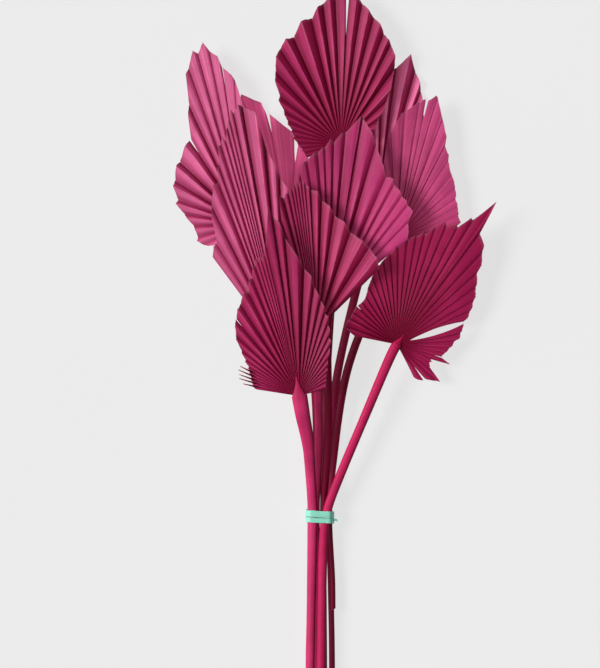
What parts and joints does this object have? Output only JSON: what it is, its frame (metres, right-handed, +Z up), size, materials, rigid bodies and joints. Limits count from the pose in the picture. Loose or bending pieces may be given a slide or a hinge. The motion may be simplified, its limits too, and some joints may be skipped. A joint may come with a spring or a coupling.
{
  "type": "bunch of dried fan palm leaves",
  "caption": "Bunch of dried, dyed fan palm leaves with pleated blades trimmed to spear shapes, their stalks held by an elastic band, laid flat; a decoration for arrangements.",
  "frame": {"origin": "on the surface the bunch lies on, under the middle of its bounding box", "axes": "+Z up from the surface, +Y along the stalks towards the blades' tips, +X to the right as seen from above"},
  "size_m": [0.2608, 0.587, 0.0666],
  "materials": {
    "dyed_leaf": "dry, dyed plant fibre, matt with a faint sheen along the folds and on the stalks",
    "tie_rubber": "smooth elastic band, matt"
  },
  "bodies": {
    "root": {"leaf_top": "dyed_leaf", "leaf_front_left": "dyed_leaf", "leaf_right": "dyed_leaf", "leaf_centre": "dyed_leaf", "leaf_middle": "dyed_leaf", "leaf_left": "dyed_leaf", "leaf_far_left": "dyed_leaf", "leaf_right_back": "dyed_leaf", "leaf_far_right": "dyed_leaf", "leaf_far_back": "dyed_leaf", "tie_band": "tie_rubber"}
  },
  "joints": []
}
